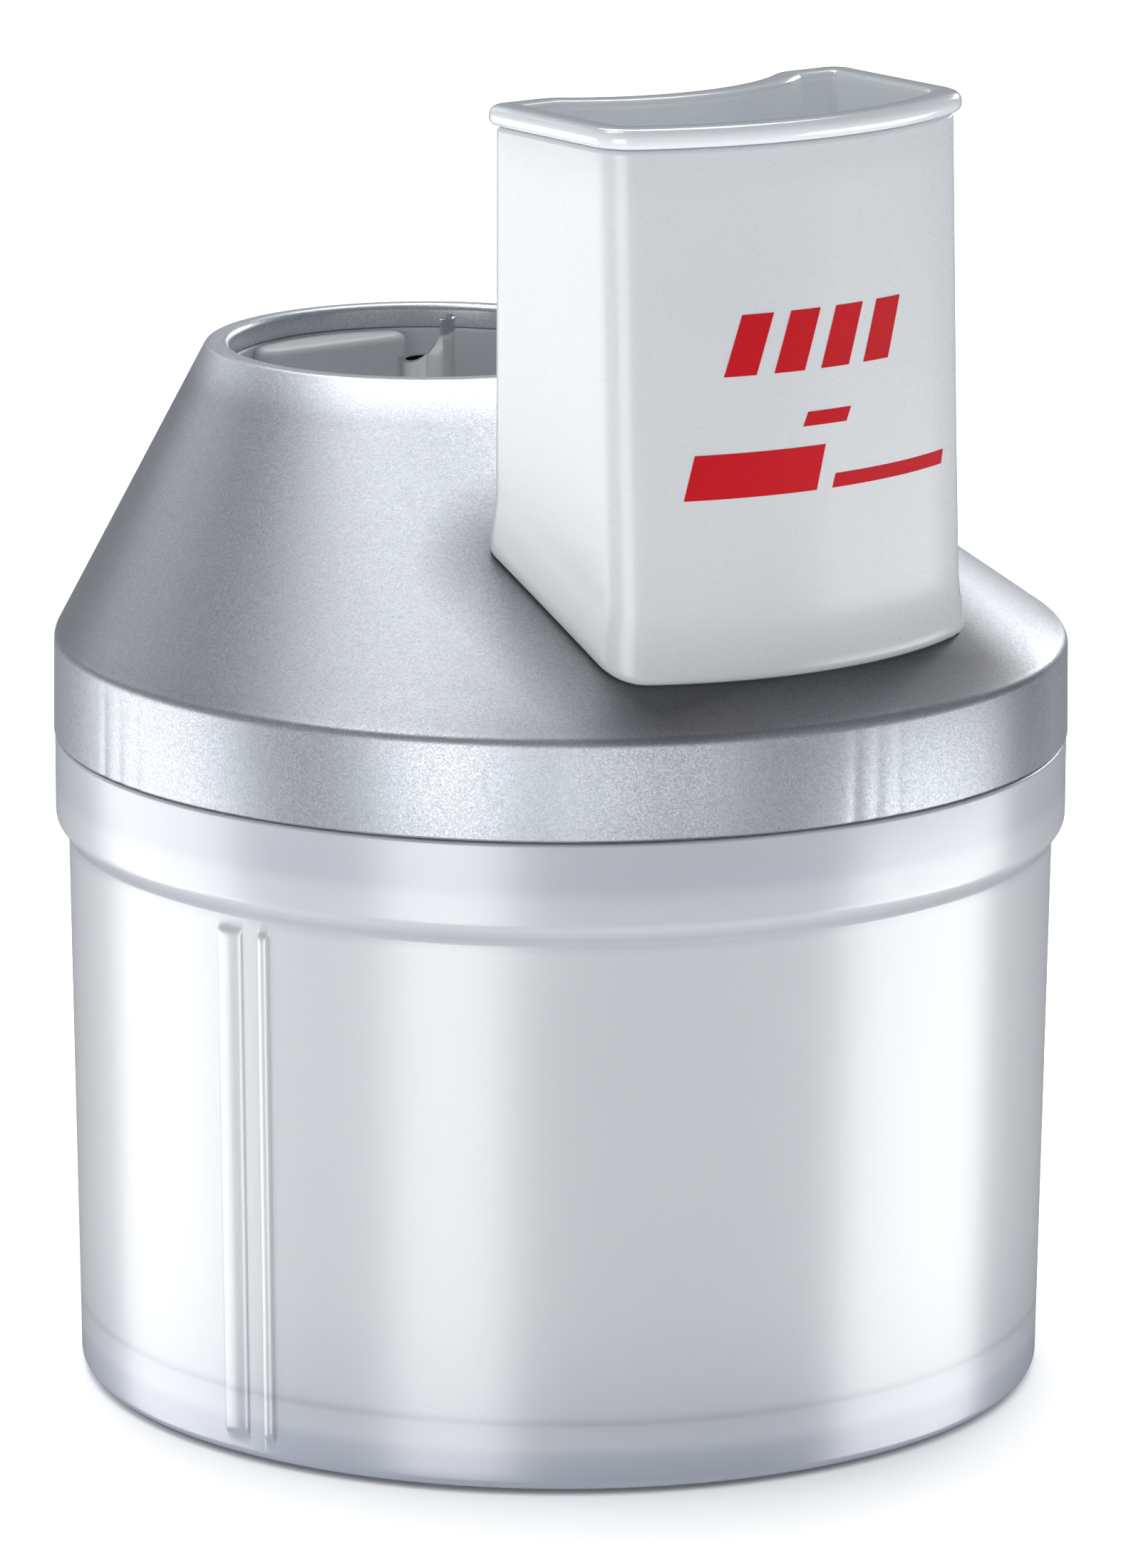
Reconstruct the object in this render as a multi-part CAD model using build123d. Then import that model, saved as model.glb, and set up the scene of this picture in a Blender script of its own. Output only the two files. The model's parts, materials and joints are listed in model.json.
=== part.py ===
"""Food-processor attachment: bowl, geared lid with feed tube and pusher, slicing disc.

Millimetres.  Origin at the centre of the base, +Z up, feed tube towards -Y and drive collar
towards +Y.  Each function makes one loose piece of the real object; every piece is one STEP.
"""
from build123d import *
import os
from math import acos, cos, pi, radians, sin, tan

# Bowl
BASE_RADIUS = 78.8
WALL_RADIUS = 80.2
BOWL_WALL = 2.4
FOOT_RISE = 0.8
FOOT_WALL = 3.2
FOOT_ROUND = 2.8
FLOOR_TOP = 12.0
FLOOR_THICKNESS = 2.6
FLOOR_ROUND = 4.0
WALL_TOP = 89.5
BAND_RADIUS = 82.3
BAND_BOTTOM = 92.5
BAND_TOP = 106.2
NECK_RADIUS = 79.5
NECK_INSIDE = 77.9
NECK_TOP = 111.2
RIBS = ((-166.9, 2.6), (-162.0, 1.1))
RIB_PROUD = 0.75
RIB_BOTTOM = 3.8
RIB_TOP = 87.5

# Bayonet: lugs on the bowl's neck and inside the cover's skirt, as bottom and top heights
LUG_COUNT = 4
LUG_SWEEP = 12.0
BOWL_LUG_START = -74.0
BOWL_LUG_HEIGHTS = (108.6, 110.7)
COVER_LUG_START = -96.0
COVER_LUG_HEIGHTS = (106.8, 108.2)

# Rubber ring in the foot
RUBBER_WIDTH = 4.0
RUBBER_TOP = 6.5

# Pivot at the bottom of the bowl
PIVOT_RADIUS = 4.0
PIVOT_TOP = 30.0
PIVOT_BOSS_RADIUS = 9.0
PIVOT_BOSS_TOP = 16.0
PIVOT_FOOT = 9.9
PIVOT_PAD = 2.5

# Lid cover: a vertical skirt, then a slanted cone up to the off-centre collar
SKIRT_RADIUS = 82.5
SKIRT_BOTTOM = 106.5
SKIRT_TOP = 122.35
SKIRT_INSIDE = 80.8
SKIRT_DRAFT = 0.2
CONE_INSIDE = 80.4
CONE_WALL_DROP = 1.2
COLLAR_OFFSET = 37.5
COLLAR_AXIS = (0, COLLAR_OFFSET)
COLLAR_RADIUS = 36.2
COLLAR_BORE = 32.5
COLLAR_TOP = 164.5
COVER_EDGE_ROUND = 2.0
SOCKET_TOP = 160.55
SOCKET_RADIUS = 34.2
SOCKET_BORE = 32.2
SOCKET_FLOOR = 140.0
SOCKET_FLOOR_THICKNESS = 2.4
HUB_RADIUS = 9.5
HUB_BOTTOM = 138.0
HUB_TOP = 144.4
SEAL_SEAT_RADIUS = 6.5
SEAL_SEAT_TOP = 142.0
HUB_LIP_BORE = 5.2
BOSS_HALF_WIDTH = 15.0
BOSS_FACE = 24.2
BOSS_TOP = 160.3

# Feed tube and pusher: kidney plan, front wall an arc about the bowl's axis
TUBE_BOTTOM = 107.6
TUBE_TOP = 211.5
TUBE_HALF_WIDTH = 34.4
TUBE_BACK = 27.3
TUBE_FRONT_TOP = 67.8
TUBE_FRONT_BOTTOM = 71.2
TUBE_WALL = 2.0
NOTCH_RADIUS = 36.6
NOTCH_CENTRE = 1.3
FRONT_CORNER = 7.0
BACK_CORNER = 2.5
NOTCH_CORNER = 6.0
TUBE_GAP = 0.2
BEAD_WIDTH = 1.1
BEAD_HEIGHT = 1.9
FLANGE_REACH = 2.4
FLANGE_THICKNESS = 2.0
PUSHER_GAP = 0.35
PUSHER_WALL = 1.5
PUSHER_BOTTOM = 109.8
PUSHER_FLOOR = 2.0
PUSHER_OVERHANG = 1.3
FLANGE_BOTTOM = 211.8
TOTAL_HEIGHT = 215.0

# Lid plate, bridge and gear room
PLATE_BOTTOM = 107.5
PLATE_THICKNESS = 2.5
SPIGOT_RADIUS = 77.4
SPIGOT_WALL = 2.2
RIM_BOTTOM = 113.0
RIM_TOP = 115.0
RIM_RADIUS = 80.4
BRIDGE_BOTTOM = 132.5
BRIDGE_TOP = 135.5
POSTS = ((-38.0, 10.0), (38.0, 10.0), (22.0, 50.0), (-22.0, 50.0))
POST_RADIUS = 4.5
FOOT_RADIUS = 6.5
BRIDGE_HUB_RADIUS = 11.0
BRIDGE_COLLAR_RADIUS = 14.0
OUTPUT_BOSS_RADIUS = 12.0
OUTPUT_BOSS_TOP = 117.5
INPUT_BOSS_RADIUS = 8.0
INPUT_BOSS_TOP = 117.0
INPUT_BUSH_SEAT = 111.0
GASKET_BOTTOM = 111.5
SCREW_RADIUS = 1.5
SCREW_HEAD = 2.8
SCREW_HEAD_HEIGHT = 2.0
SCREW_SINK = 2.2
BRIDGE_SCREW_BITE = 9.0
COVER_SCREW_BITE = 11.0
COVER_BOSS_RADIUS = 4.0
COVER_SCREW_ANGLES = (-30.0, 15.0, 60.0, 120.0, 165.0, 210.0)
COVER_SCREW_CIRCLE = 70.0

# Gear pair
MODULE = 1.0
PINION_TEETH = 10
GEAR_TEETH = 65
PROFILE_SHIFT = 0.4
PRESSURE_ANGLE = radians(20)
BACKLASH = 0.12
FLANK_STEPS = 3
GEAR_BOTTOM = 121.0
GEAR_TOP = 128.0
GEAR_WEB_INSET = 2.0
GEAR_RIM_INSIDE = 27.5
GEAR_HUB_RADIUS = 10.0
GEAR_HUB_HEIGHTS = (118.8, 129.0)
PINION_HEIGHTS = (118.6, 130.0)

# Shafts, with running clearance in the bushes and seals; heights are bottom and top
RUNNING = 0.04
INPUT_RADIUS = 3.0
OUTPUT_RADIUS = 6.0
OUTPUT_TOP_RADIUS = 4.0
HEX_FLATS = 10.0
HEX_BOTTOM = 84.0
HEX_TOP = 106.0
SHAFT_STEP = 105.5
SHAFT_SHOULDER = 130.7
SHAFT_TOP = 137.5
INPUT_HEIGHTS = (111.3, 148.6)
INPUT_BUSH_RADIUS = 5.0
INPUT_BUSH_FLANGE = 6.5
OUTPUT_BUSH_RADIUS = 8.5
OUTPUT_BUSH_FLANGE = 10.5
UPPER_BUSH_RADIUS = 6.5
UPPER_BUSH_FLANGE = 8.5
OUTPUT_SEAL_RADIUS = 10.0
OUTPUT_SEAL_HEIGHTS = (107.8, 110.7)
GEAR_CLIP_HEIGHTS = (129.1, 130.1)
GEAR_CLIP_RADIUS = 8.6
GEAR_CLIP_BORE = 5.2
INPUT_CLIP_HEIGHTS = (136.6, 137.3)
INPUT_CLIP_RADIUS = 5.2
INPUT_CLIP_BORE = 2.4
GEAR_PIN_RADIUS = 1.25
GEAR_PIN_LENGTH = 19.0
GEAR_PIN_HEIGHT = 119.9
COUPLING_PIN_RADIUS = 1.0
COUPLING_PIN_LENGTH = 9.2
COUPLING_PIN_HEIGHT = 147.0
HUB_RING_HEIGHT = 88.0
HUB_RING_RADIUS = 4.9
HUB_RING_THICKNESS = 0.8

# Drive coupling
COUPLING_RADIUS = 4.8
COUPLING_BORE = 3.4
COUPLING_BOTTOM = 145.0
COUPLING_SEAT = 149.0
COUPLING_RIM = 161.2
FINGER_TOP = 168.5
FINGER_WIDTH = 2.6
FINGER_ANGLE = -36.7

# Slicing disc
DISC_RADIUS = 76.4
WEB_BOTTOM = 99.0
WEB_TOP = 101.5
DISC_TOP = 104.0
DISC_RIM = 2.5
DISC_SKIRT = 2.0
DISC_HUB_RADIUS = 14.5
DISC_HUB_TOP = 104.6
STEM_BOTTOM = 16.6
STEM_CORE = 8.5
STEM_RIB = 14.0
STEM_RIB_HALF = 0.9
WINDOW_CENTRE = 46.0
WINDOW_SIDE = 44.0
INSERT_SIDE = 52.0
INSERT_TOP = 103.0
SLOT_CENTRE = 45.5
SLOT_LENGTH = 40.0
SLOT_WIDTH = 9.0
BLADE_THICKNESS = 0.7
BLADE_LENGTH = 42.0
RIVET_RADIUS = 1.5
RIVET_HEAD_RADIUS = 2.3
RIVET_HEAD_HEIGHT = 0.6


def turned(outline, centre=(0, 0)):
    """Solid of revolution about a vertical axis; each point is radius, height and corner round."""
    points = [(point[0], point[1]) for point in outline]
    rounds = [point[2] if len(point) > 2 else 0 for point in outline]
    wire = FilletPolyline(*points, radius=rounds, close=True)
    return Pos(centre[0], centre[1], 0) * revolve(Plane.XZ * make_face(wire), Axis.Z)


def ring(outer, inner, bottom, top, centre=(0, 0)):
    """Plain tube or washer."""
    outline = [(inner, bottom), (outer, bottom), (outer, top), (inner, top)]
    return turned(outline, centre)


def rod(radius, bottom, top, centre=(0, 0)):
    """Plain vertical cylinder."""
    height = top - bottom
    return Pos(centre[0], centre[1], bottom + height / 2) * Cylinder(radius, height)


def bayonet_lugs(outer, inner, heights, start):
    """Ring segments spread evenly round the axis."""
    bottom, top = heights
    outline = Polyline((inner, bottom), (outer, bottom), (outer, top), (inner, top), close=True)
    lug = revolve(Plane.XZ * make_face(outline), Axis.Z, LUG_SWEEP)
    return [Rot(0, 0, start + index * 360 / LUG_COUNT) * lug for index in range(LUG_COUNT)]


def tube_outline(front_radius, inset):
    """Kidney outline of the feed tube, moved inwards by inset."""
    half_width = TUBE_HALF_WIDTH - inset
    back = TUBE_BACK + inset
    strip = Pos(0, -back - front_radius / 2) * Rectangle(2 * half_width, front_radius)
    notch = Pos(0, NOTCH_CENTRE) * Circle(NOTCH_RADIUS + inset)
    outline = (Circle(front_radius - inset) & strip) - notch
    corners = outline.vertices().sort_by(Axis.Y)
    front = corners[:2]
    rear = sorted(corners[2:], key=lambda corner: abs(corner.X))
    outline = fillet(front, FRONT_CORNER - inset)
    rear = [nearest(outline, corner) for corner in rear]
    outline = fillet(rear[2:], max(BACK_CORNER - inset, 0.8))
    rear = [nearest(outline, corner) for corner in rear[:2]]
    return fillet(rear, NOTCH_CORNER - inset)


def nearest(shape, corner):
    """The shape's vertex at the same place as corner."""
    place = Vector(corner.X, corner.Y, corner.Z)
    return min(shape.vertices(), key=lambda vertex: (Vector(vertex.X, vertex.Y, vertex.Z) - place).length)


def tube_prism(inset, bottom, top):
    """Upright prism of the tube's top outline."""
    return extrude(Pos(0, 0, bottom) * tube_outline(TUBE_FRONT_TOP, inset), top - bottom)


def tube_draft(inset, extra=0.0):
    """The tube's own body, whose front wall leans out towards the bottom."""
    lean = (TUBE_FRONT_BOTTOM - TUBE_FRONT_TOP) / (TUBE_TOP - TUBE_BOTTOM)
    low = TUBE_BOTTOM - extra
    high = TUBE_TOP + extra
    lower = Pos(0, 0, low) * tube_outline(TUBE_FRONT_BOTTOM + lean * extra, inset)
    upper = Pos(0, 0, high) * tube_outline(TUBE_FRONT_TOP - lean * extra, inset)
    return loft([lower, upper], ruled=True)


def cone(bottom_radius, bottom, top_radius, top):
    """Slanted cone from the skirt's axis to the collar's axis."""
    lower = Pos(0, 0, bottom) * Circle(bottom_radius)
    upper = Pos(0, COLLAR_OFFSET, top) * Circle(top_radius)
    return loft([lower, upper], ruled=True)


def cone_outside():
    """The cone of the lid cover's outer face."""
    return cone(SKIRT_RADIUS - SKIRT_DRAFT, SKIRT_TOP, COLLAR_RADIUS, COLLAR_TOP)


def long_edges_at(shape, height):
    """The round edges of the cover that lie at one height."""
    level = [edge for edge in shape.edges() if abs(edge.center().Z - height) < 0.01]
    return [edge for edge in level if edge.length > 100]


def gear_outline(teeth, shift):
    """Involute spur gear face; opposite shifts keep the standard centre distance."""
    pitch = MODULE * teeth / 2
    base = pitch * cos(PRESSURE_ANGLE)
    tip = pitch + MODULE * (1 + shift)
    root = pitch - MODULE * (1.25 - shift)
    flank_start = max(base, root)
    half_pitch = (pi / 2 + 2 * shift * tan(PRESSURE_ANGLE)) / teeth - BACKLASH / 2 / pitch
    involute = tan(PRESSURE_ANGLE) - PRESSURE_ANGLE
    flank = []
    for step in range(FLANK_STEPS + 1):
        radius = flank_start + (tip - flank_start) * step / FLANK_STEPS
        roll = acos(min(base / radius, 1.0))
        flank.append((radius, half_pitch + involute - tan(roll) + roll))
    if root < base:
        flank.insert(0, (root, flank[0][1]))
    points = []
    for tooth in range(teeth):
        middle = 2 * pi * tooth / teeth
        side = [(radius, middle - half) for radius, half in flank]
        side += [(radius, middle + half) for radius, half in reversed(flank)]
        points += [(radius * cos(angle), radius * sin(angle)) for radius, angle in side]
    return make_face(Polyline(*points, close=True))


def make_bowl():
    """Frosted bowl: tapered wall, thick rim band, neck for the lid, pivot boss and two ribs."""
    inside = WALL_RADIUS - BOWL_WALL
    floor_under = FLOOR_TOP - FLOOR_THICKNESS
    body = turned([
        (0, PIVOT_FOOT - PIVOT_PAD), (PIVOT_BOSS_RADIUS, PIVOT_FOOT - PIVOT_PAD, 0.6),
        (PIVOT_BOSS_RADIUS, floor_under),
        (BASE_RADIUS - FOOT_WALL, floor_under, 1.5), (BASE_RADIUS - FOOT_WALL, FOOT_RISE),
        (BASE_RADIUS, FOOT_RISE, FOOT_ROUND), (WALL_RADIUS, WALL_TOP, 0.6), (BAND_RADIUS, BAND_BOTTOM, 2.0),
        (BAND_RADIUS, BAND_TOP, 0.5), (NECK_RADIUS, BAND_TOP, 0.4), (NECK_RADIUS, NECK_TOP, 0.5),
        (NECK_INSIDE, NECK_TOP, 0.5), (inside, WALL_TOP), (BASE_RADIUS - BOWL_WALL, FLOOR_TOP, FLOOR_ROUND),
        (PIVOT_BOSS_RADIUS, FLOOR_TOP, 1.5), (PIVOT_BOSS_RADIUS - 0.6, PIVOT_BOSS_TOP, 0.6),
        (PIVOT_RADIUS, PIVOT_BOSS_TOP), (PIVOT_RADIUS, PIVOT_FOOT), (0, PIVOT_FOOT),
    ])
    for angle, half_width in RIBS:
        body += make_rib(angle, half_width)
    for lug in bayonet_lugs(NECK_RADIUS + 1, NECK_RADIUS - 0.5, BOWL_LUG_HEIGHTS, BOWL_LUG_START):
        body += lug
    return body


def make_rib(angle, half_width):
    """Rounded upright rib that leans with the bowl's wall."""
    radius = (half_width ** 2 + RIB_PROUD ** 2) / (2 * RIB_PROUD)
    start = BASE_RADIUS + RIB_PROUD - radius
    lean = (WALL_RADIUS - BASE_RADIUS) / (WALL_TOP - FOOT_RISE)
    lower = Pos(start + lean * RIB_BOTTOM, 0, RIB_BOTTOM) * Circle(radius)
    upper = Pos(start + lean * RIB_TOP, 0, RIB_TOP) * Circle(radius)
    inside = rod(BASE_RADIUS - BOWL_WALL / 2, 0, WALL_TOP)
    return Rot(0, 0, angle) * (loft([lower, upper], ruled=True) - inside)


def make_non_slip_ring():
    """Rubber ring pushed into the foot of the bowl."""
    outside = BASE_RADIUS - FOOT_WALL - 0.05
    inside = outside - RUBBER_WIDTH
    return turned([(inside, 0, 0.8), (outside, 0, 0.5), (outside, RUBBER_TOP), (inside, RUBBER_TOP)])


def make_pivot_pin():
    """Steel pin that centres the disc's stem."""
    outline = [(0, PIVOT_FOOT), (PIVOT_RADIUS, PIVOT_FOOT), (PIVOT_RADIUS, PIVOT_TOP, 1.2), (0, PIVOT_TOP)]
    return turned(outline)


def cover_screw_places():
    """Centres of the screws that hold the lid plate to the cover."""
    return [
        (COVER_SCREW_CIRCLE * cos(radians(angle)), COVER_SCREW_CIRCLE * sin(radians(angle)))
        for angle in COVER_SCREW_ANGLES
    ]


def cover_outside():
    """Full outer shape of the lid cover."""
    shoulder_radius = SKIRT_RADIUS - SKIRT_DRAFT
    outline = [(0, SKIRT_BOTTOM), (SKIRT_RADIUS, SKIRT_BOTTOM), (shoulder_radius, SKIRT_TOP), (0, SKIRT_TOP)]
    shape = turned(outline) + cone_outside()
    return fillet(long_edges_at(shape, SKIRT_TOP), COVER_EDGE_ROUND)


def make_lid_cover():
    """Silver cover: skirt, slanted cone and collar, hollow inside, with screw bosses and lugs."""
    outside = cover_outside()
    ceiling = SKIRT_TOP - CONE_WALL_DROP
    room = rod(SKIRT_INSIDE, SKIRT_BOTTOM - 1, ceiling)
    room += cone(CONE_INSIDE, ceiling, SOCKET_RADIUS + 0.2, SOCKET_TOP + 0.05)
    shell = outside - room
    for place in cover_screw_places():
        column = rod(COVER_BOSS_RADIUS, RIM_TOP + 0.05, COLLAR_TOP, place) & outside
        shell += column
        shell -= rod(SCREW_RADIUS, RIM_TOP - 1, RIM_TOP + COVER_SCREW_BITE + 1, place)
    for lug in bayonet_lugs(SKIRT_INSIDE + 0.5, NECK_RADIUS + 0.3, COVER_LUG_HEIGHTS, COVER_LUG_START):
        shell += lug
    shell -= rod(COLLAR_BORE, SOCKET_TOP - 1, COLLAR_TOP + 1, COLLAR_AXIS)
    shell -= tube_draft(-TUBE_GAP)
    return fillet(long_edges_at(shell, COLLAR_TOP), 1.3)


def make_feed_tube():
    """White kidney-shaped tube with a bead that follows the cone and a fixing flange inside."""
    body = tube_draft(0)
    seat = Pos(0, 0, TUBE_GAP) * cone_outside()
    bead = (Pos(0, 0, BEAD_HEIGHT) * cone_outside() - seat) & tube_draft(-BEAD_WIDTH)
    flange = extrude(Pos(0, 0, RIM_TOP) * tube_outline(TUBE_FRONT_BOTTOM, -FLANGE_REACH), FLANGE_THICKNESS)
    body = body + bead + flange - tube_draft(TUBE_WALL, 1.0)
    lip = [edge for edge in body.edges() if abs(edge.center().Z - TUBE_TOP) < 0.01]
    return fillet(lip, 0.6)


def make_pusher():
    """Translucent hollow pusher with an overhanging flange."""
    outside = TUBE_WALL + PUSHER_GAP
    body = tube_prism(outside, PUSHER_BOTTOM, FLANGE_BOTTOM + 1)
    body = fillet(body.faces().sort_by(Axis.Z)[0].edges(), 1.2)
    flange = tube_prism(-PUSHER_OVERHANG, FLANGE_BOTTOM, TOTAL_HEIGHT)
    flange = fillet(flange.faces().sort_by(Axis.Z)[-1].edges(), 1.5)
    flange = fillet(flange.faces().sort_by(Axis.Z)[0].edges(), 1.1)
    cavity = tube_prism(outside + PUSHER_WALL, PUSHER_BOTTOM + PUSHER_FLOOR, TOTAL_HEIGHT + 1)
    body = body + flange - cavity
    mouth = body.faces().sort_by(Axis.Z)[-1].inner_wires()[0].edges()
    return fillet(mouth, 0.9)


def make_wand_socket():
    """Cup under the collar that takes the driving wand, with two locating bosses and a seal seat."""
    floor_top = SOCKET_FLOOR + SOCKET_FLOOR_THICKNESS
    cup = turned([
        (SEAL_SEAT_RADIUS, HUB_BOTTOM), (HUB_RADIUS, HUB_BOTTOM), (HUB_RADIUS, SOCKET_FLOOR),
        (SOCKET_RADIUS, SOCKET_FLOOR, 1.5), (SOCKET_RADIUS, SOCKET_TOP), (SOCKET_BORE, SOCKET_TOP, 0.6),
        (SOCKET_BORE, floor_top, 2.0), (HUB_RADIUS, floor_top, 1.0), (HUB_RADIUS, HUB_TOP, 0.8),
        (HUB_LIP_BORE, HUB_TOP), (HUB_LIP_BORE, SEAL_SEAT_TOP), (SEAL_SEAT_RADIUS, SEAL_SEAT_TOP),
    ], COLLAR_AXIS)
    low = floor_top - 0.5
    inside = rod(SOCKET_BORE + 0.5, low, BOSS_TOP)
    depth = SOCKET_BORE + 1 - BOSS_FACE
    height = BOSS_TOP - low
    for side in (-1, 1):
        middle = side * (BOSS_FACE + depth / 2)
        block = Pos(0, middle, low + height / 2) * Box(2 * BOSS_HALF_WIDTH, depth, height)
        upright = block.edges().filter_by(Axis.Z)
        block = fillet([edge for edge in upright if abs(edge.center().Y) < BOSS_FACE + 1], 3.5)
        block = fillet(block.faces().sort_by(Axis.Z)[-1].edges(), 1.8)
        cup += Pos(0, COLLAR_OFFSET, 0) * (block & inside)
    return cup


def make_lid_plate():
    """Plate that closes the gear room, with spigot, bearing bosses and posts for the bridge."""
    floor_top = PLATE_BOTTOM + PLATE_THICKNESS
    plate = turned([
        (0, PLATE_BOTTOM), (SPIGOT_RADIUS, PLATE_BOTTOM, 0.8), (SPIGOT_RADIUS, RIM_BOTTOM),
        (RIM_RADIUS, RIM_BOTTOM), (RIM_RADIUS, RIM_TOP), (SPIGOT_RADIUS - SPIGOT_WALL, RIM_TOP),
        (SPIGOT_RADIUS - SPIGOT_WALL, floor_top), (0, floor_top),
    ])
    plate += rod(OUTPUT_BOSS_RADIUS, PLATE_BOTTOM, OUTPUT_BOSS_TOP)
    plate += rod(INPUT_BOSS_RADIUS, PLATE_BOTTOM, INPUT_BOSS_TOP, COLLAR_AXIS)
    for place in POSTS:
        plate += rod(POST_RADIUS, PLATE_BOTTOM, BRIDGE_BOTTOM, place)
        plate -= rod(SCREW_RADIUS, BRIDGE_BOTTOM - BRIDGE_SCREW_BITE - 0.5, BRIDGE_BOTTOM + 1, place)
    for place in cover_screw_places():
        plate += rod(POST_RADIUS, PLATE_BOTTOM, RIM_TOP, place)
        plate -= rod(SCREW_RADIUS, PLATE_BOTTOM - 1, RIM_TOP + 1, place)
        plate -= rod(SCREW_HEAD + 0.1, PLATE_BOTTOM - 1, PLATE_BOTTOM + SCREW_SINK, place)
    plate -= rod(OUTPUT_BUSH_RADIUS, PLATE_BOTTOM - 1, OUTPUT_BOSS_TOP + 1)
    plate -= rod(OUTPUT_SEAL_RADIUS, PLATE_BOTTOM - 1, OUTPUT_SEAL_HEIGHTS[1])
    plate -= rod(INPUT_BUSH_RADIUS, INPUT_BUSH_SEAT, INPUT_BOSS_TOP + 1, COLLAR_AXIS)
    opening = extrude(Pos(0, 0, PLATE_BOTTOM - 1) * tube_outline(TUBE_FRONT_BOTTOM, -TUBE_GAP), 20)
    return plate - opening


def make_plate_gasket():
    """Silicone ring between the lid plate and the neck of the bowl."""
    return turned([
        (SPIGOT_RADIUS + 0.3, GASKET_BOTTOM, 0.5), (NECK_RADIUS - 0.2, GASKET_BOTTOM, 0.5),
        (NECK_RADIUS - 0.2, RIM_BOTTOM), (SPIGOT_RADIUS + 0.3, RIM_BOTTOM),
    ])


def make_gear_bridge():
    """Upper bearing plate over the gears, standing on the lid plate's four posts."""
    feet = [Pos(x, y) * Circle(FOOT_RADIUS) for x, y in POSTS]
    outline = make_hull([edge for foot in feet for edge in foot.edges()] + Circle(BRIDGE_HUB_RADIUS).edges())
    plate = extrude(Pos(0, 0, BRIDGE_BOTTOM) * outline, BRIDGE_TOP - BRIDGE_BOTTOM)
    collar_top = SOCKET_FLOOR - 0.05
    plate += ring(BRIDGE_COLLAR_RADIUS, BRIDGE_HUB_RADIUS, BRIDGE_TOP - 1, collar_top, COLLAR_AXIS)
    below, above = BRIDGE_BOTTOM - 1, BRIDGE_TOP + 1
    plate -= rod(UPPER_BUSH_RADIUS, below, above)
    plate -= rod(INPUT_BUSH_RADIUS, below, above, COLLAR_AXIS)
    for place in POSTS:
        plate -= rod(SCREW_RADIUS, below, above, place)
    return plate


def make_screw(place, seat, tip, upward):
    """Screw with a domed head and a cross recess; upward screws have the head below."""
    head = SCREW_HEAD_HEIGHT if upward else -SCREW_HEAD_HEIGHT
    low, high = sorted((seat, tip))
    body = rod(SCREW_RADIUS, low, high, place)
    body += rod(SCREW_HEAD, min(seat, seat - head), max(seat, seat - head), place)
    for turn in (0, 90):
        slot = Pos(place[0], place[1], seat - head) * Rot(0, 0, turn) * Box(3.2, 0.7, 1.6)
        body -= slot
    return body


def make_bridge_screws():
    """Four screws that hold the bridge down on its posts."""
    tip = BRIDGE_BOTTOM - BRIDGE_SCREW_BITE
    return Compound([make_screw(place, BRIDGE_TOP, tip, False).solid() for place in POSTS])


def make_cover_screws():
    """Six screws, put in from below, that hold the lid plate to the cover."""
    seat = PLATE_BOTTOM + SCREW_SINK
    tip = RIM_TOP + COVER_SCREW_BITE
    return Compound([make_screw(place, seat, tip, True).solid() for place in cover_screw_places()])


def make_output_gear():
    """Large nylon gear with hub, thin web and cross-pin hole."""
    face = Rot(0, 0, 90) * gear_outline(GEAR_TEETH, -PROFILE_SHIFT)
    gear = extrude(Pos(0, 0, GEAR_BOTTOM) * face, GEAR_TOP - GEAR_BOTTOM)
    gear -= ring(GEAR_RIM_INSIDE, GEAR_HUB_RADIUS, GEAR_BOTTOM - 1, GEAR_BOTTOM + GEAR_WEB_INSET)
    gear -= ring(GEAR_RIM_INSIDE, GEAR_HUB_RADIUS, GEAR_TOP - GEAR_WEB_INSET, GEAR_TOP + 1)
    low, high = GEAR_HUB_HEIGHTS
    gear += rod(GEAR_HUB_RADIUS, low, high)
    gear -= rod(OUTPUT_RADIUS, low - 1, high + 1)
    return gear - gear_cross_pin(GEAR_PIN_LENGTH + 3)


def gear_cross_pin(length):
    """Cross pin through the gear's hub and the output shaft, along X."""
    return Pos(0, 0, GEAR_PIN_HEIGHT) * Rot(0, 90, 0) * Cylinder(GEAR_PIN_RADIUS, length)


def coupling_cross_pin(length):
    """Cross pin through the coupling sleeve and the input shaft, along X."""
    pin = Rot(0, 90, 0) * Cylinder(COUPLING_PIN_RADIUS, length)
    return Pos(0, COLLAR_OFFSET, COUPLING_PIN_HEIGHT) * pin


def make_output_shaft():
    """Steel output shaft: hexagon for the disc below, two journals and a clip groove."""
    hexagon = RegularPolygon(HEX_FLATS / 2, 6, major_radius=False)
    shaft = extrude(Pos(0, 0, HEX_BOTTOM) * hexagon, HEX_TOP - HEX_BOTTOM)
    shaft = chamfer(shaft.faces().sort_by(Axis.Z)[0].edges(), 0.8)
    shaft += rod(OUTPUT_RADIUS, SHAFT_STEP, SHAFT_SHOULDER)
    shaft += rod(OUTPUT_TOP_RADIUS, SHAFT_SHOULDER, SHAFT_TOP)
    shaft -= ring(OUTPUT_RADIUS + 1, GEAR_CLIP_BORE, *GEAR_CLIP_HEIGHTS)
    groove = HUB_RING_THICKNESS + 0.1
    groove_radius = HUB_RING_RADIUS - HUB_RING_THICKNESS
    shaft -= ring(OUTPUT_RADIUS + 1, groove_radius, HUB_RING_HEIGHT - groove, HUB_RING_HEIGHT + groove)
    return shaft - gear_cross_pin(GEAR_PIN_LENGTH + 3)


def make_gear_pin():
    """Pin that drives the output shaft from the gear's hub."""
    return gear_cross_pin(GEAR_PIN_LENGTH)


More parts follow.
